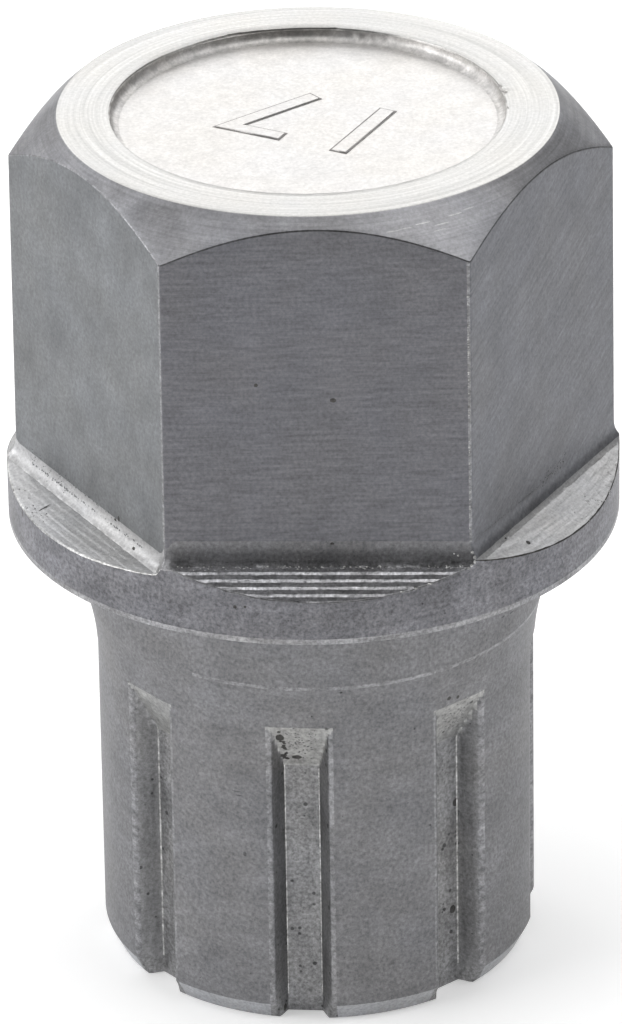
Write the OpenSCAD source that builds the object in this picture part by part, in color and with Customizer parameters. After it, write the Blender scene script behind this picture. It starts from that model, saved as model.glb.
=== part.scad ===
// Locking wheel nut key: a one-piece steel adapter between a 17 mm socket and a grooved wheel nut.
// It stands on the end of its shank. The axis is Z, the hex head is at the top, and a flat of the
// hex faces -Y. All sizes are in millimetres.

/* [Hex head] */
// Wrench size, flat to flat
across_flats = 17; // [14:0.5:22]
// Height of the hex, from the foot of its flats to the top face
head_h = 12.06; // [8:0.1:20]
// Gap between the middle of a flat and the edge of the top face
crown_inset = 0.37; // [0.2:0.01:1]
// Slope of the turned crown below the level of the top face
crown_angle = 42; // [25:1:55]

/* [Top recess] */
// Width of the flat ring round the recess
rim_w = 1.71; // [0.8:0.05:3]
// Depth of the recess
recess_depth = 0.4; // [0.2:0.05:1.5]
// Radius where the wall of the recess meets its floor
recess_foot_r = 0.3; // [0.05:0.05:0.6]

/* [Collar] */
// Height from the shoulder to the foot of the flats
collar_h = 2.2; // [1.5:0.1:5]
// How far the collar stands out past the corners of the hex
collar_proud = 0.285; // [0.1:0.01:1.5]
// Fall of the milled run-out below each flat, from level
runout_angle = 23; // [5:1:40]
// Radius that the cutter leaves between a flat and its run-out
runout_r = 0.9; // [0.2:0.05:1.5]

/* [Neck and shank] */
// Diameter of the shank
shank_d = 14.56; // [12:0.1:16]
// Length from the shoulder to the end of the shank
shank_len = 15.74; // [13.5:0.1:25]
// How far the neck stands proud of the shank
neck_proud = 0.3; // [0.1:0.05:0.8]
// Length of the neck below the shoulder
neck_len = 2.92; // [1:0.1:3.5]
// Radius of the long blend from the neck into the shank
neck_blend_r = 9; // [3:0.5:12]
// Radial width of the chamfer at the end
end_chamfer_w = 0.355; // [0.1:0.05:0.8]
// Length of the chamfer at the end
end_chamfer_h = 0.695; // [0.2:0.05:1.5]

/* [Grooves] */
// Number of key grooves round the shank
groove_count = 8; // [4:1:9]
// Turn of the first groove from the -Y flat, positive towards +X
groove_turn = -5.3; // [-22:0.1:22]
// Length of full depth, from the end of the shank
groove_len = 9.3; // [5:0.1:9.5]
// Length of the ramp on which the groove runs out
ramp_len = 1.9; // [0.5:0.1:2.2]
// Depth in the middle of the groove
groove_depth = 0.88; // [0.4:0.01:1.5]
// Width of the floor
floor_w = 1.16; // [0.6:0.01:2]
// Lean of each side wall from square to the floor
wall_lean = 25; // [5:1:35]
// Radius on the two lips
lip_r = 0.2; // [0.05:0.05:0.3]

/* [Hidden] */
// Points on each rounded stretch
ARC_STEPS = 8;
LIP_STEPS = 4;
// How far a cutter reaches past the surface that it cuts
CUT = 1;

flat_r = across_flats / 2;
corner_r = flat_r / cos(30);
collar_r = corner_r + collar_proud;
shoulder_z = shank_len;
foot_z = shoulder_z + collar_h;
top_z = foot_z + head_h;
top_face_r = flat_r - crown_inset;
crown_fall = (collar_r - top_face_r) * tan(crown_angle);
recess_r = top_face_r - rim_w;
shank_r = shank_d / 2;
neck_r = shank_r + neck_proud;
neck_z = shoulder_z - neck_len;
end_r = shank_r - end_chamfer_w;
groove_floor_r = shank_r - groove_depth;

// Points of a round stretch about a centre, from one angle to another
function arc(centre, r, from, to, steps) =
    [for (i = [0:steps]) centre + r * [cos(from + (to - from) * i / steps), sin(from + (to - from) * i / steps)]];

// Long concave blend, which rises from the shank and meets the foot of the neck at a crease
function neck_blend() =
    let (span = acos(1 - neck_proud / neck_blend_r))
    let (rise = neck_blend_r * sin(span))
    arc([shank_r + neck_blend_r, neck_z - rise], neck_blend_r, 180, 180 - span, ARC_STEPS);

// Everything that is turned, before the flats are milled
module turned_blank() {
    rotate_extrude($fn = 180)
        polygon(concat(
            [[0, 0], [end_r, 0], [shank_r, end_chamfer_h]],
            neck_blend(),
            [
                [neck_r, shoulder_z],
                [collar_r, shoulder_z],
                [collar_r, top_z - crown_fall],
                [top_face_r, top_z],
                [0, top_z]
            ]
        ));
}

// Section of the milling cut for one flat: out from the axis along X, up along Y
module flat_cut_section() {
    bend = 90 - runout_angle;
    tangent = runout_r * tan(bend / 2);
    reach = collar_r + CUT;
    polygon(concat(
        [[flat_r, top_z + CUT]],
        arc([flat_r + runout_r, foot_z + tangent], runout_r, 180, 180 + bend, ARC_STEPS),
        [
            [reach, foot_z - (reach - flat_r) * tan(runout_angle)],
            [reach, top_z + CUT]
        ]
    ));
}

// The six flats, each with its fillet and sloping run-out into the collar
module hex_flats() {
    for (side = [0:5])
        rotate([0, 0, 60 * side - 90])
            rotate([90, 0, 0])
                linear_extrude(height = 2 * corner_r + 2 * CUT, center = true)
                    flat_cut_section();
}

// Shallow round recess in the top face, with a rounded foot to its wall
module top_recess() {
    foot_r = min(recess_foot_r, recess_depth);
    floor_z = top_z - recess_depth;
    rotate_extrude($fn = 180)
        polygon(concat(
            [[0, top_z + CUT], [0, floor_z]],
            arc([recess_r - foot_r, floor_z + foot_r], foot_r, -90, 0, ARC_STEPS),
            [[recess_r, top_z + CUT]]
        ));
}

// Half section of a groove: floor, leaning wall and rounded lip; X runs across, Y out from the axis
function groove_half() =
    let (wall = [sin(wall_lean), cos(wall_lean)])
    let (off_wall = [cos(wall_lean), -sin(wall_lean)])
    let (start = [floor_w / 2, groove_floor_r] + lip_r * off_wall)
    let (reach = shank_r - lip_r)
    let (along = start * wall)
    let (run = -along + sqrt(along * along - start * start + reach * reach))
    let (centre = start + run * wall)
    let (out = atan2(centre[1], centre[0]))
    concat(
        [[floor_w / 2, groove_floor_r]],
        arc(centre, lip_r, 180 - wall_lean, out, LIP_STEPS),
        [centre + (lip_r + CUT) * [cos(out), sin(out)]]
    );

module groove_section() {
    half = groove_half();
    last = len(half) - 1;
    polygon(concat(
        half,
        [for (i = [last:-1:0]) [-half[i][0], half[i][1]]]
    ));
}

// One groove, open at the end of the shank and run out on a ramp at the top
module groove() {
    ramp_top = groove_len + ramp_len * (groove_depth + CUT) / groove_depth;
    intersection() {
        translate([0, 0, -CUT])
            linear_extrude(height = ramp_top + 2 * CUT)
                rotate([0, 0, 180])
                    groove_section();
        rotate([90, 0, 90])
            linear_extrude(height = 4 * shank_r, center = true)
                polygon([
                    [-groove_floor_r + CUT, -2 * CUT],
                    [-groove_floor_r + CUT, groove_len],
                    [-groove_floor_r, groove_len],
                    [-shank_r - CUT, ramp_top],
                    [-shank_r - 2 * CUT, ramp_top],
                    [-shank_r - 2 * CUT, -2 * CUT]
                ]);
    }
}

module shank_grooves() {
    for (i = [0:groove_count - 1])
        rotate([0, 0, groove_turn + 360 * i / groove_count])
            groove();
}

// The whole key: a turned bar with milled flats, a recess and key grooves
module wheel_nut_key() {
    color([0.55, 0.55, 0.56])
        difference() {
            turned_blank();
            hex_flats();
            top_recess();
            shank_grooves();
        }
}

wheel_nut_key();
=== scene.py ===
"""Locking wheel nut key: its machined surface, the floor, the light and the camera.

Named lengths are millimetres and turns are degrees. The meshes are in metres.
"""

import math
import random

import bmesh
import bpy
from mathutils import Matrix, Vector, noise


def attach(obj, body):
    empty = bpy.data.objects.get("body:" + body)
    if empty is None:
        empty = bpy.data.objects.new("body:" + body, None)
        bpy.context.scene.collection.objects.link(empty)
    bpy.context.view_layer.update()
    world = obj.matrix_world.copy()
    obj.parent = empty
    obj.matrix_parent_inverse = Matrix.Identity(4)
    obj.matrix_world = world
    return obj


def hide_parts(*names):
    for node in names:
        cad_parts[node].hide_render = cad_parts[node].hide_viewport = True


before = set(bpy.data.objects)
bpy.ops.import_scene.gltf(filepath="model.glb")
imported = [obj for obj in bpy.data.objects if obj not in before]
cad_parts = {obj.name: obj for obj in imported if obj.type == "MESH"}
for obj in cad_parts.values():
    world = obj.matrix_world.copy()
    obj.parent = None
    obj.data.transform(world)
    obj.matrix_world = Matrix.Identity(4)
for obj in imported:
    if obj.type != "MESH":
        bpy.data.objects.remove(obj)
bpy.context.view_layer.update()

MM = 0.001
ROOT = "root"
NODE = "wheel_nut_key"

# Hex head, in the sizes of the CAD part
SIDES = 6
FLAT_R = 8.5
TOP_Z = 30.0
TOP_FACE_R = 8.13
RECESS_R = 6.42
RECESS_DEPTH = 0.4
RECESS_FOOT_R = 0.3
CROWN_FALL = math.tan(math.radians(42))
COLLAR_R = 10.1
SHOULDER_Z = 15.74

# Shank
SHANK_R = 7.28
NECK_R = 7.58
NECK_Z = 12.82
BLEND_R = 9.0
END_R = 6.925
END_CHAMFER_Z = 0.695

# Grooves
GROOVES = 8
GROOVE_TURN = -5.3
GROOVE_LEN = 9.3
RAMP_LEN = 1.9
GROOVE_FLOOR_R = 6.4
FLOOR_W = 1.16
WALL_LEAN = 25.0
LIP_R = 0.2

# How far the edges are broken: the corners of the hexagon as a share of its size, the others by radius
CORNER_SOFT = 0.0016
FINE_EDGE_R = 0.05
EDGE_R = 0.07
RIM_EDGE_R = 0.05
SHOULDER_EDGE_R = 0.04
NECK_FILLET = 0.03
END_EDGE_R = 0.04
CHAMFER_EDGE_R = 0.3
FOLD_R = 0.08
GROOVE_CORNER_R = 0.05
LIP_EDGE_R = 0.02

# The hexagon was milled this far off the turned axis
HEX_OFFSET = Vector((0.07, 0.0))

# Points closer than this become one, in the key and in the number
WELD = 0.001
NUMBER_WELD = 0.002


# Helpers

def along(turn):
    """Unit vector away from the axis, at a turn from -Y towards +X."""
    angle = math.radians(turn)
    return Vector((math.sin(angle), -math.cos(angle)))


def arc(centre, radius, start, end, steps):
    """Points of an arc in a plane, with its angles in degrees."""
    points = []
    for i in range(steps + 1):
        angle = math.radians(start + (end - start) * i / steps)
        points.append(Vector(centre) + radius * Vector((math.cos(angle), math.sin(angle))))
    return points


def rounded(before, corner, after, radius, steps):
    """Points that round off a corner between two straight stretches."""
    before, corner, after = Vector(before), Vector(corner), Vector(after)
    back = (before - corner).normalized()
    on = (after - corner).normalized()
    half = back.angle(on) / 2
    centre = corner + (back + on).normalized() * radius / math.sin(half)
    start = corner + back * radius / math.tan(half) - centre
    end = corner + on * radius / math.tan(half) - centre
    return [centre + radius * start.slerp(end, i / steps) for i in range(steps + 1)]


def between(start, end, count):
    """Evenly spaced points between two points, without the two."""
    start, end = Vector(start), Vector(end)
    return [start.lerp(end, i / (count + 1)) for i in range(1, count + 1)]


def smooth_step(low, high, value):
    """0 below low, 1 above high, and an even turn between."""
    share = min(max((value - low) / (high - low), 0.0), 1.0)
    return share * share * (3 - 2 * share)


def bump_at(turn, middle, half_width):
    """1 at the middle of a short stretch of turn, and 0 outside it."""
    off = abs((turn - middle + 180) % 360 - 180)
    return 1 - smooth_step(0.0, half_width, off)


def waver(turn, pace, seed):
    """Uneven value from about -1 to 1, the same each time, that changes over a turn at this pace."""
    return noise.noise(Vector((*along(turn), 0.0)) * pace + Vector((0, 0, seed)))


def skin(bm, sheet, finish):
    """Wraps a grid round the axis, over one list of points per column, with a finish for each face."""
    columns, rows = len(sheet), len(sheet[0])
    made = bmesh.ops.create_grid(bm, x_segments=columns, y_segments=rows - 1, size=1.0)["verts"]
    for face in {face for vert in made for face in vert.link_faces}:
        middle = face.calc_center_median()
        column = int((middle.x + 1) / 2 * columns)
        row = int((middle.y + 1) / 2 * (rows - 1))
        face.material_index = FINISH_NAMES.index(finish(column, row))
    for vert in made:
        column = round((vert.co.x + 1) / 2 * columns) % columns
        row = round((vert.co.y + 1) / 2 * (rows - 1))
        vert.co = sheet[column][row]


# Finishes

def linear(colour):
    """Linear colour of an sRGB hex value."""
    result = []
    for i in (1, 3, 5):
        part = int(colour[i:i + 2], 16) / 255
        result.append(part / 12.92 if part <= 0.04045 else ((part + 0.055) / 1.055) ** 2.4)
    return result + [1.0]


def add(tree, kind, settings=None, **links):
    """Adds a node. Settings are attributes or input values, links are sockets that feed its inputs."""
    node = tree.nodes.new("ShaderNode" + kind)
    for name, value in (settings or {}).items():
        if hasattr(node, name):
            setattr(node, name, value)
        else:
            node.inputs[int(name) if name.isdigit() else name].default_value = value
    for name, socket in links.items():
        key = int(name[1:]) if name[1:].isdigit() else name.replace("_", " ")
        tree.links.new(socket, node.inputs[key])
    return node


def new_material(name):
    material = bpy.data.materials.new(name)
    material.use_nodes = True
    tree = material.node_tree
    tree.nodes.clear()
    return material, tree


# Distance from the axis at which a turned line has its full length
LINE_R = 7.0


def turned(across, length):
    """Lines that run round the axis, one every so many millimetres across."""
    def lay(tree, place):
        parts = add(tree, "SeparateXYZ", _0=place)
        flat = add(tree, "VectorMath", {"operation": "MULTIPLY", "1": (1.0, 1.0, 0.0)}, _0=place)
        radius = add(tree, "VectorMath", {"operation": "LENGTH"}, _0=flat.outputs[0])
        around = add(tree, "VectorMath", {"operation": "NORMALIZE"}, _0=flat.outputs[0])
        slow = add(tree, "VectorMath", {"operation": "SCALE", "Scale": LINE_R / length},
                   _0=around.outputs[0])
        down = add(tree, "Math", {"operation": "SUBTRACT"},
                   _0=parts.outputs["Z"], _1=radius.outputs["Value"])
        fast = add(tree, "Math", {"operation": "MULTIPLY", "1": 1 / (across * MM)}, _0=down.outputs[0])
        rise = add(tree, "CombineXYZ", Z=fast.outputs[0])
        both = add(tree, "VectorMath", {"operation": "ADD"}, _0=slow.outputs[0], _1=rise.outputs[0])
        return both.outputs[0]
    return lay


def milled(across, length, turn, slant):
    """Straight lines over the flat that faces a turn, at a slant from level."""
    def lay(tree, place):
        face = add(tree, "Mapping", {"Rotation": (0.0, 0.0, math.radians(-turn))}, Vector=place)
        tilt = add(tree, "Mapping", {"Rotation": (0.0, math.radians(slant), 0.0)},
                   Vector=face.outputs[0])
        size = (1 / (length * MM), 1 / (length * MM), 1 / (across * MM))
        return add(tree, "Mapping", {"Scale": size}, Vector=tilt.outputs[0]).outputs[0]
    return lay


# Bare steel looks cool in some patches and warm in others, by this much of each of its colours
COOL = (0.995, 1.0, 1.01)
WARM = (1.005, 1.0, 0.99)
# Size of the grit, the clouds, the tints and the cells in which a pit may show. Real grit is finer,
# and is drawn this coarse to show at all.
GRIT_SIZE = 0.12
CLOUD_SIZE = 1.6
TINT_SIZE = 2.5
PIT_CELL = 0.24
# Share of the light that the middle of a pit keeps
PIT_TONE = 0.35
# How far the roughness changes with the clouds
ROUGH_SWING = 0.04


def bare_steel(name, colour, roughness, lay, lines=(0.004, 0.2), grain=(0.004, 0.2),
               pits=0.05, patches=0.08):
    """Bare machined steel. Lines and grain have a depth in millimetres and a share of light and dark."""
    material, tree = new_material(name)
    place = add(tree, "TexCoord").outputs["Object"]
    strokes = add(tree, "TexNoise", {"Scale": 1.0, "Detail": 3.0, "Roughness": 0.6},
                  Vector=lay(tree, place))
    grit = add(tree, "TexNoise", {"Scale": 1 / (GRIT_SIZE * MM), "Detail": 3.0, "Roughness": 0.7},
               Vector=place)
    clouds = add(tree, "TexNoise", {"Scale": 1 / (CLOUD_SIZE * MM), "Detail": 4.0, "Roughness": 0.6},
                 Vector=place)
    tints = add(tree, "TexNoise", {"Scale": 1 / (TINT_SIZE * MM), "Detail": 2.0, "Roughness": 0.5},
                Vector=place)
    cells = add(tree, "TexVoronoi", {"Scale": 1 / (PIT_CELL * MM)}, Vector=place)

    # A pit shows in the cells whose own number is high, more of them where the clouds are dark
    chance = add(tree, "SeparateXYZ", _0=cells.outputs["Color"]).outputs["X"]
    gather = add(tree, "Math", {"operation": "MULTIPLY_ADD", "1": 0.6, "2": 1.2 - pits},
                 _0=clouds.outputs[0])
    over = add(tree, "Math", {"operation": "SUBTRACT"}, _0=chance, _1=gather.outputs[0])
    over = add(tree, "Math", {"operation": "ADD", "1": 0.5}, _0=over.outputs[0])
    size = add(tree, "Math", {"operation": "MULTIPLY", "1": 1.1, "use_clamp": True}, _0=over.outputs[0])
    inside = add(tree, "Math", {"operation": "SUBTRACT"},
                 _0=size.outputs[0], _1=cells.outputs["Distance"])
    tone = add(tree, "MapRange", {"From Min": 0.0, "From Max": 0.1, "To Min": 1.0, "To Max": PIT_TONE},
               Value=inside.outputs[0])
    for pattern, share in ((strokes, lines[1]), (grit, grain[1]), (clouds, patches)):
        shade = add(tree, "MapRange", {"From Min": 0.3, "From Max": 0.7,
                                       "To Min": 1 - share, "To Max": 1 + share},
                    Value=pattern.outputs[0])
        tone = add(tree, "Math", {"operation": "MULTIPLY"}, _0=tone.outputs[0], _1=shade.outputs[0])
    mean = linear(colour)[:3]
    tint = add(tree, "MapRange", {"data_type": "FLOAT_VECTOR", "7": (0.35,) * 3, "8": (0.65,) * 3,
                                  "9": [part * share for part, share in zip(mean, COOL)],
                                  "10": [part * share for part, share in zip(mean, WARM)]},
               _6=tints.outputs[0])
    base = add(tree, "VectorMath", {"operation": "SCALE"}, _0=tint.outputs[1], Scale=tone.outputs[0])
    rough = add(tree, "MapRange", {"From Min": 0.3, "From Max": 0.7,
                                   "To Min": roughness - ROUGH_SWING, "To Max": roughness + ROUGH_SWING},
                Value=clouds.outputs[0])
    bump = add(tree, "Bump", {"Strength": 1.0, "Distance": lines[0] * MM}, Height=strokes.outputs[0])
    bump = add(tree, "Bump", {"Strength": 1.0, "Distance": grain[0] * MM}, Height=grit.outputs[0],
               Normal=bump.outputs[0])
    shader = add(tree, "BsdfPrincipled", {"Metallic": 1.0}, Base_Color=base.outputs[0],
                 Roughness=rough.outputs[0], Normal=bump.outputs[0])
    add(tree, "OutputMaterial", Surface=shader.outputs[0])
    return material


DULL = "#7f7f81"
FINISHES = {
    # Faced last of all, with fine rings; its bright grey is partly painted light from above
    "faced": bare_steel("faced_steel", "#b7b6b4", 0.36, turned(0.1, 8),
                        (0.006, 0.16), (0.004, 0.12), 0.0),
    # Pressed flat by the number die, matt; its bright grey is partly painted light from above
    "struck": bare_steel("struck_steel", "#c7c5c3", 0.42, turned(0.5, 1),
                         (0.003, 0.06), (0.004, 0.12), 0.0),
    # Wall of the recess, torn by the tool, so ragged and matt; its grey is painted lighter against the
    # shade in the recess
    "wall": bare_steel("torn_steel", "#bdbbb9", 0.5, turned(0.2, 0.6), (0.006, 0.2), (0.006, 0.2)),
    # Darker line at the foot of the number, dull
    "seam": bare_steel("number_foot_steel", "#7c7a78", 0.5, turned(0.3, 0.6),
                       (0.002, 0.15), (0.004, 0.2), 0.0),
    # Turned crown with fine streaks round it
    "crown": bare_steel("turned_crown_steel", "#909093", 0.42, turned(0.14, 3),
                        (0.004, 0.14), (0.005, 0.16), 0.04, 0.22),
    # Turned collar, dull
    "collar": bare_steel("turned_collar_steel", "#79797d", 0.48, turned(0.3, 3),
                         (0.002, 0.12), (0.008, 0.4), 0.16, 0.26),
    # Ledges where the milling cutter ran out, bright and nearly even
    "ledge": bare_steel("milled_ledge_steel", "#acacad", 0.42, turned(0.2, 3),
                        (0.002, 0.16), (0.006, 0.2), 0.08),
    # Ridges between the passes of the cutter, bright and ragged
    "ridge": bare_steel("ragged_ridge_steel", "#b2b2b5", 0.36, turned(0.3, 0.5),
                        (0.004, 0.5), (0.008, 0.5), 0.1),
    # Edges rubbed bright in patches, and painted glints and highlights on the burrs, the front right
    # edge and the left rim
    "rubbed": bare_steel("rub_and_glint_steel", "#b0b0af", 0.36, turned(0.3, 1),
                         (0.002, 0.5), (0.004, 0.5)),
    # Edges a little brighter than the faces beside them, partly wear and partly a painted highlight; on
    # the front ledges this grey is painted shade
    "worn": bare_steel("worn_edge_steel", "#88888a", 0.42, turned(0.3, 0.6),
                       (0.002, 0.3), (0.004, 0.4)),
    # Band at the lower edge of the collar, painted lighter as a highlight
    "band": bare_steel("collar_highlight_steel", "#98989a", 0.48, turned(0.3, 1),
                       (0.002, 0.3), (0.004, 0.4)),
    # Smears of old grease, and painted shade on the front and right edges under the crown and over the
    # right fillet
    "stained": bare_steel("stain_and_shade_steel", "#626264", 0.5, turned(0.3, 0.6),
                          (0.002, 0.2), (0.006, 0.3)),
    # Seams that hold dark grease and dust, and the darker line along the rim on the right side
    "grimy": bare_steel("grimy_steel", "#4c4b4a", 0.5, turned(0.3, 0.6),
                        (0.002, 0.3), (0.006, 0.3)),
    # Shank, dull and finely grained
    "shank": bare_steel("rolled_shank_steel", DULL, 0.5, turned(0.5, 2),
                        (0.001, 0.08), (0.007, 0.3), 0.14, 0.16),
    # Floors of the grooves, with many small pits
    "groove": bare_steel("pressed_groove_steel", "#8c8c8d", 0.5, milled(2.0, 0.3, 0, 0),
                         (0.002, 0.12), (0.01, 0.45), 0.36, 0.24),
    # Walls of the grooves, evener than the floors; their lighter grey is painted light against the shade
    # inside the grooves
    "groove_wall": bare_steel("pressed_wall_steel", "#929293", 0.5, milled(2.0, 0.3, 0, 0),
                              (0.002, 0.12), (0.01, 0.3), 0.3, 0.16),
    # Ramp on which a groove runs out, speckled; its bright grey is a painted reflection of the floor
    # below
    "ramp": bare_steel("pressed_ramp_steel", "#a7a7a6", 0.5, milled(0.4, 0.4, 0, 0),
                       (0.002, 0.2), (0.01, 0.3), 0.3),
    # Chamfer at the end, painted lighter as a reflection of the floor below
    "chamfer": bare_steel("turned_chamfer_steel", "#abacaf", 0.5, turned(0.3, 2),
                          (0.002, 0.1), (0.006, 0.25), 0.1),
}
# Milled flats, satin with the cutter's lines: slant, length and share of the lines, share of the
# patches, and grey. The greys of the seen flats are painted shade, darkest on the front, then the
# right, then the left.
FLATS = [(0, 1.4, 0.16, 0.1, "#717175"), (27, 2.0, 0.14, 0.18, "#737478"), (20, 2.0, 0.1, 0.1, DULL),
         (0, 1.4, 0.14, 0.1, DULL), (-40, 2.0, 0.1, 0.1, DULL), (75, 1.0, 0.06, 0.2, "#797b7d")]
for side, (slant, length, share, patches, colour) in enumerate(FLATS):
    FINISHES[f"flat_{side}"] = bare_steel(
        f"milled_flat_steel_{side}", colour, 0.46, milled(0.12, length, 60 * side, slant),
        (0.004, share), (0.004, 0.2), 0.05, patches)
FINISH_NAMES = list(FINISHES)


# Hex head and collar

# Each side of the hexagon: height where the flat ends in its fillet, how far out and how high the fillet
# ends, the drop there, the fall of the run-out in degrees and the height of its ridges
SIDE_CUTS = [
    {"flat_end": 18.69, "reach": 0.286, "crease": 17.900, "drop": 0.000, "fall": 27.10, "ridge": 0.026},
    {"flat_end": 18.52, "reach": 0.300, "crease": 17.890, "drop": 0.000, "fall": 27.50, "ridge": 0.005},
    {"flat_end": 18.50, "reach": 0.300, "crease": 17.850, "drop": 0.010, "fall": 25.00, "ridge": 0.010},
    {"flat_end": 18.60, "reach": 0.290, "crease": 17.870, "drop": 0.000, "fall": 26.00, "ridge": 0.024},
    {"flat_end": 18.40, "reach": 0.300, "crease": 17.800, "drop": 0.010, "fall": 22.00, "ridge": 0.010},
    {"flat_end": 18.22, "reach": 0.300, "crease": 17.660, "drop": 0.015, "fall": 13.00, "ridge": 0.004},
]
# Finishes on each side: edge under the crown, fillet, its crease, ridges, what lies between them, rim
FINISHED_PARTS = ("edge", "fillet", "crease", "ridge", "ledge", "rim")
SIDE_FINISHES = [dict(zip(FINISHED_PARTS, finishes)) for finishes in (
    # Front side: the dark edge under the crown and the darker grey of the ledges are painted shade
    ("stained", "shank", "worn", "ridge", "worn", "worn"),
    # Right side: the dark edge under the crown is painted shade, and the rim a darker line
    ("stained", "flat_1", "ledge", "ledge", "ledge", "grimy"),
    ("worn", "ledge", "ledge", "ledge", "ledge", "worn"),
    ("worn", "flat_3", "stained", "ridge", "worn", "worn"),
    ("worn", "ledge", "ledge", "ledge", "ledge", "worn"),
    # Left side: the bright rim is a painted highlight
    ("worn", "ledge", "ledge", "ledge", "ledge", "rubbed"),
)]
# The cut below the front flat falls by this much for each millimetre towards the right
FRONT_TILT = 0.0222
# Sideways feed of the milling cutter. A ridge climbs over the first rows of a feed and drops over the
# others. The first row of a run-out stands out by a share of a row.
FEED = 0.258
FIRST_ROW = 0.2
ROWS_PER_FEED = 8
CLIMB_ROWS = 6
RUN_OUT_ROWS = 46
FILLET_ROWS = 9
# The fillet has the finish of its crease from this row on
CREASE_ROW = 6
# Height of the band painted lighter as a highlight at the lower edge of the collar
BAND_H = 0.2
# Each flat leans outward by this much from its crown to its foot
FLARE = 0.05
# Steps away from a corner of the hexagon, in degrees, and the number of even ones after them. The
# columns nearest to a corner take the brighter worn grey, partly wear and partly a painted highlight.
CORNER_STEPS = [0.0, 0.12, 0.26, 0.42, 0.62, 0.9, 1.4, 2.2, 3.4, 4.8]
EVEN_STEPS = 42
BRIGHT_CORNER_STEPS = 2
# How far the lip of the recess stands back from its wall, and how far down it starts
LIP_BACK = 0.02
LIP_H = 0.07
# Where the lip meets its wall: how far in and up
LIP_FOOT_IN = 0.004
LIP_FOOT_UP = 0.006
# How uneven the lip, the wall of the recess, the fillet and the cutter lines are
LIP_WAVER = 0.012
WALL_WAVER = 0.02
FILLET_WAVER = 0.03
LINE_WAVER = 0.02
# How uneven the ridges, the edge of the rim and the nicks are, as a share of their size
RIDGE_WAVER = 0.35
RIM_WAVER = 0.6
NICK_WAVER = 0.4
# Radii of the rings of points on the floor of the recess
FLOOR_RINGS = (0.0, 2.0, 4.0, 5.4)
# Where the lip was nicked: turn, half width in degrees, depth
NICKS = [(99.3, 2.4, 0.14), (103.5, 1.6, 0.08), (88.0, 1.8, 0.06), (-158.0, 16.0, 0.09),
         (171.0, 3.0, 0.05)]


def side_turns():
    """Turns of the columns of one side, from its corner at -30 to just before the one at 30."""
    last = CORNER_STEPS[-1]
    first_half = CORNER_STEPS + [last + (30 - last) * i / EVEN_STEPS for i in range(1, EVEN_STEPS + 1)]
    return [step - 30 for step in first_half] + [30 - step for step in reversed(first_half[1:-1])]


def cut_at(turn):
    """Softened share of the nearest flats, and the sizes of the cut at this turn."""
    shares = []
    for side in range(SIDES):
        out = along(60 * side)
        shares.append(out.dot(along(turn)) * FLAT_R / (FLAT_R + HEX_OFFSET.dot(out)))
    order = sorted(range(SIDES), key=lambda side: -shares[side])
    first, second = shares[order[0]], shares[order[1]]
    share = (first + second) / 2 + math.hypot((first - second) / 2, CORNER_SOFT)
    other = 0.5 * (1 - smooth_step(0.0, 0.03, first - second))
    cut = {name: SIDE_CUTS[order[0]][name] * (1 - other) + SIDE_CUTS[order[1]][name] * other
           for name in SIDE_CUTS[0]}
    across = FLAT_R * math.tan(math.radians((turn + 180) % 360 - 180))
    front = {order[0]: 1 - other, order[1]: other}.get(0, 0.0)
    for name in ("flat_end", "crease"):
        cut[name] -= FRONT_TILT * across * front
    return share, cut


def run_out(cut, turn):
    """Points of the fillet and the run-out of a flat: distance out along the side, and height."""
    height = cut["flat_end"] - cut["crease"] + FILLET_WAVER * waver(turn, 25, 2.0)
    reach = cut["reach"]
    radius = (reach * reach + height * height) / (2 * reach)
    bend = math.degrees(math.asin(min(height / radius, 1.0)))
    foot_r = FLAT_R + FLARE
    points = arc((foot_r + radius, cut["flat_end"]), radius, 180, 180 + bend, FILLET_ROWS - 1)
    start = Vector((foot_r + reach, cut["crease"] - cut["drop"]))
    for i in range(RUN_OUT_ROWS):
        ridge, step = divmod(i, ROWS_PER_FEED)
        uneven = waver(turn, 12, 3.7 * ridge) + waver(turn, 90, 3.7 * ridge)
        rise = min(step / CLIMB_ROWS, (ROWS_PER_FEED - step) / (ROWS_PER_FEED - CLIMB_ROWS))
        out = FEED * (i + FIRST_ROW) / ROWS_PER_FEED + LINE_WAVER * waver(turn, 60, ridge)
        fall = out * math.tan(math.radians(cut["fall"]))
        points.append(start + Vector((out, cut["ridge"] * (rise + RIDGE_WAVER * uneven) - fall)))
    return points


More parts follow.
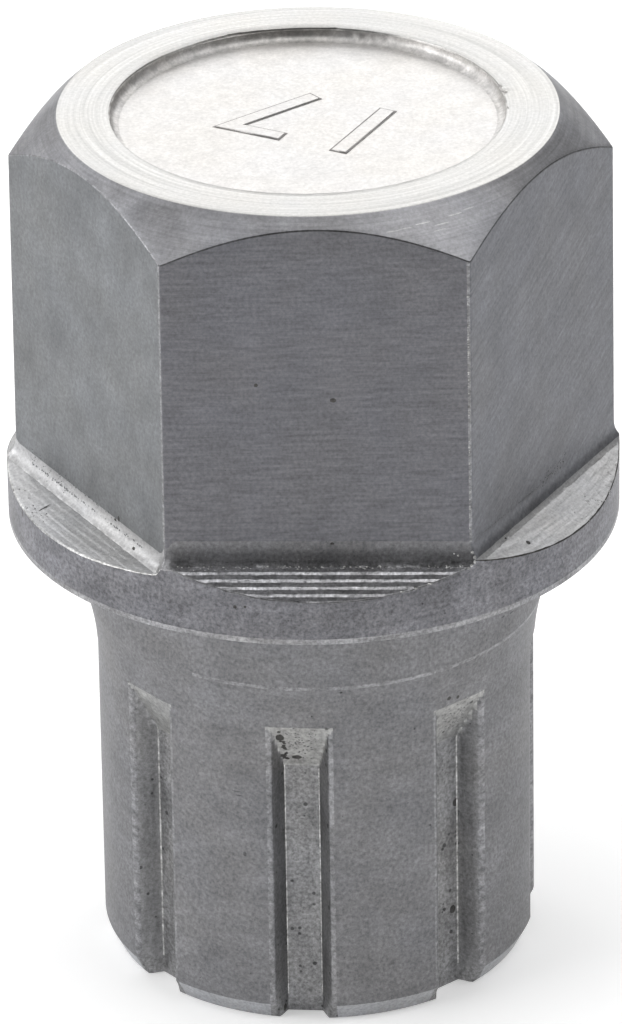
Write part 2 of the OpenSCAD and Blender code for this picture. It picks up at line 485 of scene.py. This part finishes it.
def head_outline(turn):
    """Outline of the head at this turn, from the axis to the shoulder, in stretches of one finish."""
    share, cut = cut_at(turn)
    flat_r = FLAT_R / share
    floor_z = TOP_Z - RECESS_DEPTH
    lip_r = RECESS_R + LIP_BACK + LIP_WAVER * waver(turn, 14, 0.0)
    lip_r += sum(depth * bump_at(turn, middle, width) * (1 + NICK_WAVER * waver(turn, 40, 5.0))
                 for middle, width, depth in NICKS)
    lip_z = TOP_Z - LIP_H
    crown_z = TOP_Z - (flat_r - TOP_FACE_R) * CROWN_FALL

    floor = [Vector((radius, floor_z)) for radius in FLOOR_RINGS]
    wall_r = RECESS_R + WALL_WAVER * waver(turn, 20, 7.0)
    wall = rounded((5, floor_z), (wall_r, floor_z), (wall_r, TOP_Z), RECESS_FOOT_R, 5)
    wall += [Vector((wall_r, lip_z)), Vector((lip_r - LIP_FOOT_IN, lip_z + LIP_FOOT_UP))]
    lip = rounded((lip_r, lip_z), (lip_r, TOP_Z), (TOP_FACE_R, TOP_Z), LIP_EDGE_R, 2)
    ring = between((lip_r + 0.1, TOP_Z), (TOP_FACE_R - 0.06, TOP_Z), 4)
    ring += rounded((RECESS_R, TOP_Z), (TOP_FACE_R, TOP_Z), (flat_r, crown_z), FINE_EDGE_R, 3)
    edge = rounded((TOP_FACE_R, TOP_Z), (flat_r, crown_z), (flat_r, crown_z - 1), EDGE_R, 3)
    crown = between(ring[-1], edge[0], 4) + [edge[0]]

    slope = [Vector((point.x / share, point.y)) for point in run_out(cut, turn)]
    flat = between(edge[-1], slope[0], 7) + [slope[0]]
    beyond = next(i for i, point in enumerate(slope) if point.x > COLLAR_R)
    inner, outer = slope[beyond - 1], slope[beyond]
    rim = inner.lerp(outer, (COLLAR_R - inner.x) / (outer.x - inner.x))
    burr_r = RIM_EDGE_R * (1 + RIM_WAVER * waver(turn, 30, 9.0))
    rim_arc = rounded(rim + inner - outer, rim, (COLLAR_R, rim.y - 1), burr_r, 3)
    ledge = [point if point.x < rim_arc[0].x else rim_arc[0] for point in slope[1:]]
    fillet, crease = ledge[:CREASE_ROW], ledge[CREASE_ROW:FILLET_ROWS - 1]
    ledges = [("ridge" if i % ROWS_PER_FEED in (ROWS_PER_FEED - 1, 0) and i else "ledge", [point])
              for i, point in enumerate(ledge[FILLET_ROWS - 1:])]

    corner = Vector((COLLAR_R, SHOULDER_Z))
    foot = rounded((COLLAR_R, TOP_Z), corner, (0, SHOULDER_Z), SHOULDER_EDGE_R, 4)
    band = Vector((COLLAR_R, SHOULDER_Z + BAND_H))
    side = between(rim_arc[-1], band, 5) + [band]
    under = [Vector((NECK_R + NECK_FILLET, SHOULDER_Z))]
    return [("struck", floor + wall[:1]), ("wall", wall[1:]), ("faced", lip + ring), ("crown", crown),
            ("edge", edge[1:]), ("flat", flat), ("fillet", fillet), ("crease", crease), *ledges,
            ("rim", rim_arc), ("collar", side), ("band", foot), ("collar", under)]


def make_head(bm):
    turns = [60 * side + turn for side in range(SIDES) for turn in side_turns()]
    outlines = [head_outline(turn) for turn in turns]
    sheet = []
    for turn, outline in zip(turns, outlines):
        out = along(turn)
        sheet.append([(out.x * radius, out.y * radius, height)
                      for name, points in outline for radius, height in points])
    row_names = [name for name, points in outlines[0] for point in points]
    per_side = len(turns) // SIDES

    def finish(column, row):
        name = row_names[row + 1]
        side, place = divmod(column, per_side)
        # Columns at the corners of the hexagon: partly wear and partly a painted highlight
        if name == "flat" and min(place, per_side - 1 - place) < BRIGHT_CORNER_STEPS:
            return "worn"
        if name == "flat":
            return f"flat_{side}"
        return SIDE_FINISHES[side].get(name, name)

    skin(bm, sheet, finish)


# Shank and grooves

LAND_STEPS = 8
# Heights of the lower rows of the shank, where the upper ones start and how many steps they make
LOWER_ROWS = (1.2, 2, 3, 4, 5, 6, 7, 8, 8.8)
UPPER_ROWS_Z = 9.1
UPPER_STEPS = 14
BLEND_STEPS = 18
# Inside this radius the end face has plain rings of points
END_RING_R = GROOVE_FLOOR_R * 0.8
# A ramp ends this far below the surface, and starts this far above the floor of its groove
RAMP_END = 0.03
RAMP_START = 0.02
# The painted highlight on the crease under the neck fades out to the left of this turn
FADED_TURN = -34.0


def groove_half():
    """Half section of a groove and a land, from the middle of the floor: name, turn, across and out."""
    lean = math.radians(WALL_LEAN)
    wall = Vector((math.sin(lean), math.cos(lean)))
    off_wall = Vector((math.cos(lean), -math.sin(lean)))
    foot = Vector((FLOOR_W / 2, GROOVE_FLOOR_R))
    start = foot + LIP_R * off_wall
    reach = SHANK_R - LIP_R
    run = -start.dot(wall) + math.sqrt(start.dot(wall) ** 2 - start.dot(start) + reach * reach)
    centre = start + run * wall
    lip = arc(centre, LIP_R, 180 - WALL_LEAN, math.degrees(math.atan2(centre.y, centre.x)), 4)
    middle = Vector((0, GROOVE_FLOOR_R))
    corner = rounded(middle, foot, lip[0], GROOVE_CORNER_R, 2)
    floor = [middle] + between(middle, corner[0], 3) + [corner[0]]
    side = between(corner[-1], lip[0], 3) + [lip[0]]
    lip_turn = math.degrees(math.atan2(lip[-1].x, lip[-1].y))
    pitch = 180 / GROOVES
    turns = [lip_turn + (pitch - lip_turn) * i / LAND_STEPS for i in range(1, LAND_STEPS + 1)]
    land = [Vector((math.sin(turn), math.cos(turn))) * SHANK_R for turn in map(math.radians, turns)]
    stretches = [("groove", floor), ("rubbed", corner[1:]), ("groove_wall", side), ("lip", lip[1:]),
                 ("land", land)]
    return [(name, math.degrees(math.atan2(point.x, point.y)), point.x, point.y)
            for name, points in stretches for point in points]


def shank_levels():
    """Rows of the shank from its end up to the shoulder: name, radius of the turned surface, height."""
    chamfer = Vector((END_R, 0.0))
    shoulder = Vector((SHANK_R, END_CHAMFER_Z))
    span = math.acos(1 - (NECK_R - SHANK_R) / BLEND_R)
    blend_z = NECK_Z - BLEND_R * math.sin(span)
    crease = Vector((NECK_R, NECK_Z))
    top = Vector((NECK_R, SHOULDER_Z - NECK_FILLET))
    bevel = rounded((0, 0), chamfer, shoulder, END_EDGE_R, 2)
    turn_in = rounded(chamfer, shoulder, (SHANK_R, 5), CHAMFER_EDGE_R, 2)
    straight = [Vector((SHANK_R, height)) for height in LOWER_ROWS]
    straight += [Vector((SHANK_R, UPPER_ROWS_Z + (blend_z - UPPER_ROWS_Z) * i / UPPER_STEPS))
                 for i in range(UPPER_STEPS + 1)]
    blend = arc((SHANK_R + BLEND_R, blend_z), BLEND_R, 180, 180 - math.degrees(span), BLEND_STEPS)
    fold = rounded(blend[-2], crease, top, FOLD_R, 3)
    neck = between(fold[-1], top, 6) + [top]
    stretches = [("end", [Vector((0, 0)), bevel[0] * 0.7, bevel[0]]), ("bevel", bevel[1:] + turn_in[:1]),
                 ("land", turn_in[1:] + straight + blend[1:-1]), ("fold", fold), ("neck", neck)]
    return [(name, point.x, point.y) for name, points in stretches for point in points]


def ramp_at(height):
    """How far out the ramp lies at this height."""
    return GROOVE_FLOOR_R + (height - GROOVE_LEN) * (SHANK_R - GROOVE_FLOOR_R) / RAMP_LEN


def make_shank(bm):
    half = groove_half()
    left = [(name, -turn, -across, out) for name, turn, across, out in reversed(half[1:-1])]
    # A face takes the name of whichever of its two columns lies farther from the floor
    names = [step[0] for step in left] + [step[0] for step in half[1:]] + [half[-1][0]]
    columns = left + half
    levels = shank_levels()
    sheet = []
    for groove in range(GROOVES):
        centre = GROOVE_TURN + 360 / GROOVES * groove
        forward = along(centre)
        sideways = Vector((-forward.y, forward.x))
        for name, turn, across, out in columns:
            points = []
            for part, radius, height in levels:
                turned_out = math.sqrt(max(radius * radius - across * across, 0.0))
                depth = max(out, ramp_at(height))
                if name == "land" or part == "end" and radius < END_RING_R:
                    place = along(centre + turn) * radius
                elif turned_out < depth:
                    place = forward * turned_out + sideways * across
                else:
                    place = forward * depth + sideways * across
                points.append((place.x, place.y, height))
            sheet.append(points)

    def finish(column, row):
        part, radius, height = levels[row + 1]
        groove, step = divmod(column, len(columns))
        name, out = names[step], columns[step][3]
        turn = (GROOVE_TURN + 360 / GROOVES * groove + columns[step][1] + 180) % 360 - 180
        if part == "fold":
            # The crease under the neck takes the brighter worn grey as a painted highlight
            return "worn" if turn > FADED_TURN else "shank"
        if part == "bevel":
            return "chamfer" if name == "land" else "groove"
        if part in ("end", "neck") or ramp_at(height) > radius - RAMP_END or name == "land":
            return "shank"
        if height > GROOVE_LEN and ramp_at(height) > out + RAMP_START:
            return "ramp"
        return "worn" if name == "lip" else name

    skin(bm, sheet, finish)


# Edges that turn by more than this stay sharp
SHARP_TURN = 30.0


def make_key():
    bm = bmesh.new()
    make_head(bm)
    make_shank(bm)
    bmesh.ops.remove_doubles(bm, verts=bm.verts, dist=WELD)
    rings = [edge for edge in bm.edges if edge.is_boundary]
    bridge = bmesh.ops.bridge_loops(bm, edges=rings)
    for face in bridge["faces"]:
        face.material_index = FINISH_NAMES.index("collar")
    bmesh.ops.recalc_face_normals(bm, faces=bm.faces)
    for face in bm.faces:
        face.smooth = True
    bmesh.ops.scale(bm, verts=bm.verts, vec=(MM, MM, MM))
    mesh = bpy.data.meshes.new("machined_key")
    bm.to_mesh(mesh)
    bm.free()
    for name in FINISH_NAMES:
        mesh.materials.append(FINISHES[name])
    mesh.set_sharp_from_angle(angle=math.radians(SHARP_TURN))
    key = bpy.data.objects.new("machined_key", mesh)
    bpy.context.collection.objects.link(key)
    weighted = key.modifiers.new("even shading", "WEIGHTED_NORMAL")
    weighted.keep_sharp = True
    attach(key, ROOT)
    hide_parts(NODE)
    return key


# Marks

# Thickness of a burr and of a stain, of which half stands out
BURR_T = 0.014
STAIN_T = 0.003
# Start of the random draws that place the marks of a row
SEED = 17
# Single marks: turn, height, size round the axis and along it, finish
MARKS = [
    # Pits in the front and left flats, and in the run-outs
    (3.92, 23.71, 0.24, 0.18, "grimy"), (-12.3, 24.29, 0.15, 0.15, "grimy"),
    (3.26, 18.59, 0.15, 0.12, "grimy"),
    (-39.8, 17.77, 0.20, 0.26, "grimy"), (-47.0, 18.29, 0.15, 0.24, "grimy"),
    (-48.4, 18.14, 0.18, 0.18, "grimy"),
    (44.6, 17.65, 0.18, 0.21, "grimy"), (40.4, 17.95, 0.12, 0.12, "grimy"),
    # Scratch across the left run-out, and the notch in its rim
    (-68.1, 17.47, 0.07, 0.86, "grimy"), (-71.0, 17.20, 0.10, 0.34, "grimy"),
    # Burrs at the front right corner and on the front ridges, their bright grey a painted glint
    (30.0, 18.20, 0.12, 0.16, "rubbed"), (30.2, 18.06, 0.12, 0.16, "rubbed"),
    (30.0, 17.93, 0.12, 0.16, "rubbed"),
    (29.3, 17.83, 0.14, 0.12, "rubbed"), (28.6, 17.77, 0.16, 0.10, "rubbed"),
    (15.5, 17.42, 0.16, 0.12, "rubbed"), (18.1, 17.47, 0.14, 0.12, "rubbed"),
    (20.9, 17.54, 0.18, 0.12, "rubbed"),
    (27.0, 18.18, 0.07, 0.07, "rubbed"), (27.6, 18.12, 0.09, 0.09, "rubbed"),
    # Specks on the collar, the neck and the blend
    (-15.3, 17.00, 0.14, 0.14, "grimy"), (-13.4, 17.04, 0.11, 0.11, "grimy"),
    (35.6, 11.46, 0.18, 0.18, "grimy"), (38.5, 11.38, 0.15, 0.15, "grimy"),
    (53.4, 13.67, 0.25, 0.07, "stained"), (57.6, 13.60, 0.30, 0.07, "stained"),
    (56.1, 13.21, 0.22, 0.07, "stained"),
    # Streaks on the crown
    (17.0, 29.50, 0.5, 0.04, "ledge"), (20.0, 29.52, 0.6, 0.04, "ledge"),
    (24.0, 29.56, 0.6, 0.05, "ledge"),
    (28.0, 29.45, 0.6, 0.05, "ledge"), (31.9, 29.58, 0.6, 0.05, "ledge"),
    (35.5, 29.62, 0.5, 0.04, "ledge"),
    (27.1, 29.33, 0.5, 0.04, "ledge"),
    # Smears on the shank
    (-22.2, 8.58, 0.34, 0.06, "stained"), (-21.6, 8.44, 0.26, 0.06, "stained"),
    (-20.2, 6.27, 0.14, 0.22, "stained"),
    # Dirt in the grooves
    (44.3, 6.80, 0.28, 0.34, "grimy"), (42.9, 2.79, 0.30, 0.36, "grimy"),
    (-11.1, 0.20, 0.24, 0.30, "grimy"),
    (-10.6, 10.66, 0.33, 0.39, "grimy"), (-10.5, 9.80, 0.20, 0.50, "grimy"),
    (-6.5, 9.71, 0.39, 0.24, "grimy"),
]
# Rows of small marks: turn and height where a row starts and ends, spread, number, size, finish
ROWS = [
    # Dotted line over the left fillet
    ((-84.0, 17.93), (-37.0, 17.96), 0.015, 90, 0.05, "stained"),
    # Flecks above it
    ((-84.0, 18.30), (-50.0, 18.20), 0.08, 60, 0.05, "stained"),
    # Dotted painted highlight down the front right edge of the hexagon
    ((29.9, 27.4), (29.9, 18.8), 0.10, 60, 0.05, "rubbed"),
    # Ragged line where the front fillet ends
    ((-27.0, 17.98), (28.0, 17.81), 0.015, 120, 0.05, "rubbed"),
    # Dark line of painted shade where the right flat bends into its fillet, and pits over the right
    # fillet
    ((33.0, 18.58), (62.0, 18.50), 0.012, 120, 0.04, "stained"),
    ((58.0, 18.50), (70.0, 18.80), 0.10, 34, 0.05, "grimy"),
    # Specks in the front fillet
    ((-26.0, 18.20), (26.0, 18.20), 0.14, 40, 0.04, "worn"),
    # Torn steel at the far end of the left run-out
    ((-84.0, 17.46), (-64.0, 17.42), 0.03, 30, 0.06, "rubbed"),
    ((-84.0, 18.00), (-66.0, 17.95), 0.10, 24, 0.04, "stained"),
    # Rough steel on the right run-out
    ((60.0, 17.45), (82.0, 17.50), 0.10, 40, 0.06, "rubbed"),
    # Dirt along the ramps of the front and right grooves
    ((-10.8, 10.80), (-9.0, 9.70), 0.20, 30, 0.10, "grimy"),
    ((-9.5, 10.40), (-1.0, 10.40), 0.35, 60, 0.05, "stained"),
    ((35.5, 10.40), (44.0, 10.40), 0.35, 60, 0.05, "stained"),
]


def make_marks(key):
    """Thin patches of dirt, burrs and pits, and of painted highlight and shade, each set on the surface
    that it faces.
    """
    chance = random.Random(SEED)
    marks = list(MARKS)
    for start, end, spread, count, size, finish in ROWS:
        for i in range(count):
            share = chance.random()
            turn = start[0] + (end[0] - start[0]) * share
            height = start[1] + (end[1] - start[1]) * share + chance.gauss(0, spread)
            wide = size * chance.uniform(0.6, 1.4)
            marks.append((turn, height, wide * chance.uniform(1.0, 1.6), wide, finish))
    bpy.context.view_layer.update()
    bm = bmesh.new()
    finishes = sorted({mark[-1] for mark in marks})
    for turn, height, across, up, finish in marks:
        out = Vector((*along(turn), 0.0))
        start = out * COLLAR_R * 1.5 + Vector((0, 0, height))
        place, normal = key.ray_cast(start * MM, -out)[1:3]
        thick = BURR_T if finish == "rubbed" else STAIN_T
        size = Matrix.Diagonal((across * MM, up * MM, thick * MM, 1.0))
        stand = Matrix.Translation(place) @ normal.to_track_quat("Z", "Y").to_matrix().to_4x4() @ size
        made = bmesh.ops.create_icosphere(bm, subdivisions=1, radius=0.5, matrix=stand)["verts"]
        for part in {part for vert in made for part in vert.link_faces}:
            part.material_index = finishes.index(finish)
            part.smooth = finish == "rubbed"
    mesh = bpy.data.meshes.new("surface_marks")
    bm.to_mesh(mesh)
    bm.free()
    for finish in finishes:
        mesh.materials.append(FINISHES[finish])
    spots = bpy.data.objects.new("surface_marks", mesh)
    bpy.context.collection.objects.link(spots)
    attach(spots, ROOT)


# Size number

NUMBER = "17"
NUMBER_H = 3.6
NUMBER_SPACING = 1.25
NUMBER_PLACE = (0.45, 0.02)
NUMBER_TURN = 152.0
# Height of a figure for a font size of 1
FIGURE_H = 0.7
# The layers of the number: how far its outline is moved out, its rise and bevel, and its finish
NUMBER_LAYERS = [(0.06, 0.012, 0.004, "seam"), (-0.03, 0.042, 0.03, "struck")]


def make_number():
    """The wrench size, raised in the recess, with a darker line at its foot."""
    bm = bmesh.new()
    finishes = [layer[-1] for layer in NUMBER_LAYERS]
    for offset, rise, bevel, finish in NUMBER_LAYERS:
        curve = bpy.data.curves.new("size_number", "FONT")
        curve.body = NUMBER
        curve.align_x = "CENTER"
        curve.align_y = "CENTER"
        curve.size = NUMBER_H * MM / FIGURE_H
        curve.space_character = NUMBER_SPACING
        curve.offset = offset * MM
        curve.extrude = (rise - bevel) * MM
        curve.bevel_depth = bevel * MM
        curve.bevel_resolution = 1
        text = bpy.data.objects.new("size_number_text", curve)
        bpy.context.collection.objects.link(text)
        layer = bpy.data.meshes.new_from_object(text)
        bpy.data.objects.remove(text)
        before = set(bm.faces)
        bm.from_mesh(layer)
        for face in set(bm.faces) - before:
            face.material_index = finishes.index(finish)
        bpy.data.meshes.remove(layer)
    place = Matrix.Translation((NUMBER_PLACE[0] * MM, NUMBER_PLACE[1] * MM, (TOP_Z - RECESS_DEPTH) * MM))
    place @= Matrix.Rotation(math.radians(NUMBER_TURN), 4, "Z")
    bmesh.ops.transform(bm, matrix=place, verts=bm.verts)
    bmesh.ops.remove_doubles(bm, verts=bm.verts, dist=NUMBER_WELD * MM)
    bmesh.ops.recalc_face_normals(bm, faces=bm.faces)
    mesh = bpy.data.meshes.new("size_number")
    bm.to_mesh(mesh)
    bm.free()
    for finish in finishes:
        mesh.materials.append(FINISHES[finish])
    number = bpy.data.objects.new("size_number", mesh)
    bpy.context.collection.objects.link(number)
    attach(number, ROOT)


# Camera, floor and light

CAMERA_PLACE = (-2.119, -248.843, 143.549)
CAMERA_AZIMUTH = -0.464
CAMERA_ELEVATION = 27.257
CAMERA_ROLL = -0.910
CAMERA_LENS = 297.26


def make_camera():
    data = bpy.data.cameras.new("camera")
    data.lens = CAMERA_LENS
    data.clip_start = 0.01
    data.clip_end = 10
    camera = bpy.data.objects.new("camera", data)
    bpy.context.collection.objects.link(camera)
    turn = (Matrix.Rotation(math.radians(CAMERA_AZIMUTH), 4, "Z")
            @ Matrix.Rotation(math.radians(90 - CAMERA_ELEVATION), 4, "X")
            @ Matrix.Rotation(math.radians(CAMERA_ROLL), 4, "Z"))
    camera.matrix_world = Matrix.Translation(Vector(CAMERA_PLACE) * MM) @ turn
    bpy.context.scene.camera = camera


# Half the width of the floor, and how far it lies below the key, both in millimetres
FLOOR_HALF = 3000.0
FLOOR_GAP = 0.02
# Light that the floor gives off where it is seen, so that it shows as white
FLOOR_GLOW = 0.35


def make_floor():
    """A plain pale sheet. It shows as white, and the object's shadow stays on it."""
    bm = bmesh.new()
    bmesh.ops.create_grid(bm, x_segments=1, y_segments=1, size=FLOOR_HALF * MM)
    bmesh.ops.translate(bm, verts=bm.verts, vec=(0, 0, -FLOOR_GAP * MM))
    mesh = bpy.data.meshes.new("floor")
    bm.to_mesh(mesh)
    bm.free()
    floor = bpy.data.objects.new("floor", mesh)
    bpy.context.collection.objects.link(floor)
    material, tree = new_material("pale_paper")
    paper = add(tree, "BsdfDiffuse", {"Color": linear("#ececec")})
    path = add(tree, "LightPath")
    seen = add(tree, "Math", {"operation": "MAXIMUM"}, _0=path.outputs["Is Camera Ray"],
               _1=path.outputs["Is Glossy Ray"])
    lift = add(tree, "Math", {"operation": "MULTIPLY", "1": FLOOR_GLOW}, _0=seen.outputs[0])
    glow = add(tree, "Emission", {"Color": (1, 1, 1, 1)}, Strength=lift.outputs[0])
    both = add(tree, "AddShader", _0=paper.outputs[0], _1=glow.outputs[0])
    add(tree, "OutputMaterial", Surface=both.outputs[0])
    mesh.materials.append(material)


# Soft boxes: turn from the camera side towards the right, elevation, width and height in metres,
# brightness where 1 is white. All stand at the same distance, in metres too, and face the object.
BOX_DISTANCE = 0.7
BOXES = {
    "back_low": (180, 24, 0.9, 0.3, 2.41),
    "back_high": (180, 50, 0.9, 0.3, 1.15),
    "overhead": (0, 85, 0.6, 0.6, 1.27),
    "left_low": (-75, 22, 0.45, 0.35, 5.32),
    "left_high": (-75, 55, 0.45, 0.35, 0.78),
    "left_back": (-130, 35, 0.5, 0.5, 1.12),
    "left_side": (-112, 14, 0.4, 0.25, 2.1),
    "right_low": (75, 22, 0.45, 0.35, 1.15),
    "right_high": (75, 55, 0.45, 0.35, 2.08),
    "right_back": (130, 35, 0.5, 0.5, 0.48),
}


def make_light():
    world = bpy.data.worlds.new("studio")
    bpy.context.scene.world = world
    world.use_nodes = True
    tree = world.node_tree
    tree.nodes.clear()
    air = add(tree, "Background", {"Strength": 0.0})
    add(tree, "OutputWorld", Surface=air.outputs[0])
    middle = Vector((0, 0, TOP_Z / 2)) * MM
    for name, (turn, elevation, width, height, brightness) in BOXES.items():
        data = bpy.data.lights.new(name, "AREA")
        data.shape = "RECTANGLE"
        data.size = width
        data.size_y = height
        data.energy = brightness * math.pi * width * height
        box = bpy.data.objects.new(name, data)
        bpy.context.collection.objects.link(box)
        level = math.cos(math.radians(elevation))
        away = Vector((*(along(turn) * level), math.sin(math.radians(elevation))))
        box.location = middle + away * BOX_DISTANCE
        box.rotation_euler = (-away).to_track_quat("-Z", "Y").to_euler()


make_camera()
make_floor()
make_light()
make_marks(make_key())
make_number()

bpy.context.scene.view_settings.view_transform = "Standard"
